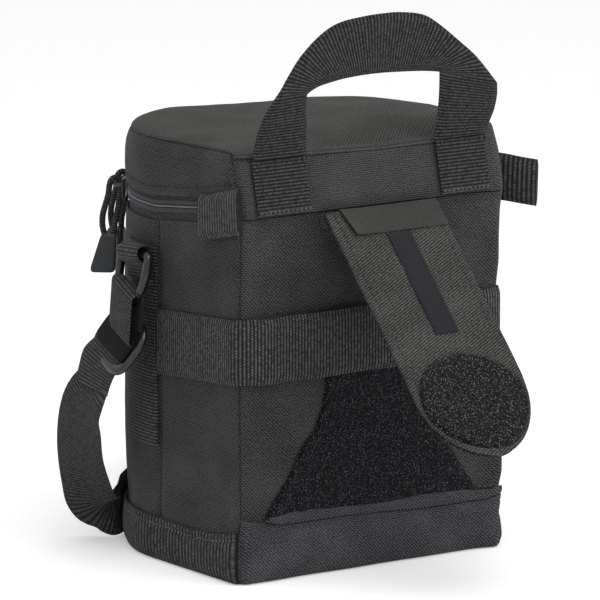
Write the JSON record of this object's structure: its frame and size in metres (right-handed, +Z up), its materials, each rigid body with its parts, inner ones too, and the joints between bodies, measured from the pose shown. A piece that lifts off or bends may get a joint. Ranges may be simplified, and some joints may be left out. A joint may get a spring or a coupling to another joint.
{
  "type": "lens pouch",
  "caption": "Padded D-shaped lens pouch with a domed zip lid, webbing handle, belt flap with a hook-and-loop patch, D-rings and a shoulder strap.",
  "frame": {"origin": "on the underside of the base, on the axis of the round front", "axes": "+Z up out of the base, +Y towards the flat back that lies on the belt, +X towards the strap adjuster's side"},
  "size_m": [0.2006, 0.3074, 0.2214],
  "materials": {
    "twill": "dark grey woven nylon twill",
    "lid_cloth": "lighter dark grey woven nylon",
    "webbing": "black-grey ribbed webbing",
    "loop_pile": "soft loop pile",
    "foam": "closed-cell padding",
    "lining": "smooth grey lining cloth",
    "zip_tape": "knitted tape",
    "zip_coil": "moulded nylon coil",
    "slider_metal": "black lacquer",
    "pull_cord": "braided cord",
    "grip_rubber": "satin moulded rubber",
    "hardware": "glossy black acetal",
    "stiffener": "plain sheet",
    "bare_label": "bare satin ribbon"
  },
  "bodies": {
    "body": {"base_panel": "twill", "base_foam": "foam", "body_foam": "foam", "lining_floor": "lining", "body_lining": "lining", "front_panel": "twill", "side_panel_left": "twill", "side_panel_right": "twill", "back_panel": "twill", "back_band": "twill", "neck_foam": "foam", "base_band": "webbing", "back_base_band": "twill", "pocket_lip": "twill", "loop_panel": "loop_pile", "belt_webbing": "webbing", "lower_zip_tape": "zip_tape", "lower_zip_coil": "zip_coil", "handle_anchor_left": "webbing", "handle_anchor_right": "webbing", "flap_root": "twill", "ring_holder_left": "webbing", "ring_holder_right": "webbing", "side_strip_left": "webbing", "side_strip_right": "webbing", "shoulder_strap_left": "webbing", "shoulder_strap_right": "webbing"},
    "lid": {"lid_top": "lid_cloth", "lid_foam": "foam", "lid_lining": "lining", "lid_wall": "twill", "lid_wall_foam": "foam", "lid_wall_lining": "lining", "upper_zip_tape": "zip_tape", "upper_zip_coil": "zip_coil"},
    "handle": {"carry_handle": "webbing"},
    "flap": {"flap_face": "twill", "flap_core": "stiffener", "flap_backing": "loop_pile", "flap_patch": "loop_pile", "flap_size_tag": "bare_label", "flap_label_strip": "bare_label"},
    "slider_left": {"zip_slider_left": "slider_metal"},
    "slider_right": {"zip_slider_right": "slider_metal"},
    "pull_left": {"pull_cord_left": "pull_cord", "pull_grip_left": "grip_rubber"},
    "pull_right": {"pull_cord_right": "pull_cord", "pull_grip_right": "grip_rubber"},
    "ring_left": {"d_ring_left": "hardware", "strap_end_loop_left": "webbing", "strap_adjuster": "hardware"},
    "ring_right": {"d_ring_right": "hardware", "strap_end_loop_right": "webbing"},
    "tab_left": {"zip_end_tab_left": "webbing"},
    "tab_right": {"zip_end_tab_right": "webbing"}
  },
  "joints": [
    {"name": "lid_hinge", "type": "hinge", "parent": "body", "child": "lid", "pos_m": [0, 0.05388, 0.1696], "axis": [-1, 0, 0], "range_deg": [0, 85]},
    {"name": "handle_fold", "type": "hinge", "parent": "body", "child": "handle", "pos_m": [0, 0.05618, 0.16825], "axis": [-1, 0, 0], "range_deg": [-14, 60]},
    {"name": "flap_swing", "type": "hinge", "parent": "body", "child": "flap", "pos_m": [0, 0.0617, 0.144], "axis": [1, 0, 0], "range_deg": [-43, 45]},
    {"name": "slider_left_track", "type": "hinge", "parent": "body", "child": "slider_left", "pos_m": [0, 0, 0.1428], "axis": [0, 0, -1], "range_deg": [-9, 0]},
    {"name": "slider_right_track", "type": "hinge", "parent": "body", "child": "slider_right", "pos_m": [0, 0, 0.1428], "axis": [0, 0, -1], "range_deg": [0, 92]},
    {"name": "pull_left_swing", "type": "hinge", "parent": "slider_left", "child": "pull_left", "pos_m": [0.05209, -0.04371, 0.1444], "axis": [-0.6428, -0.766, 0], "range_deg": [0, 95]},
    {"name": "pull_right_swing", "type": "hinge", "parent": "slider_right", "child": "pull_right", "pos_m": [0.04186, -0.05359, 0.1444], "axis": [-0.788, -0.6157, 0], "range_deg": [0, 95]},
    {"name": "ring_left_swing", "type": "hinge", "parent": "body", "child": "ring_left", "pos_m": [0.06805, -0.01078, 0.1235], "axis": [-0.1564, -0.9877, 0], "range_deg": [-3, 60]},
    {"name": "ring_right_swing", "type": "hinge", "parent": "body", "child": "ring_right", "pos_m": [-0.06805, -0.01078, 0.1235], "axis": [-0.1564, 0.9877, 0], "range_deg": [-5, 60]},
    {"name": "tab_left_fold", "type": "hinge", "parent": "body", "child": "tab_left", "pos_m": [0.0633, 0.033, 0.144], "axis": [0, 0, -1], "range_deg": [-4, 80]},
    {"name": "tab_right_fold", "type": "hinge", "parent": "body", "child": "tab_right", "pos_m": [-0.0633, 0.033, 0.148], "axis": [0, 0, 1], "range_deg": [-35, 44]}
  ]
}
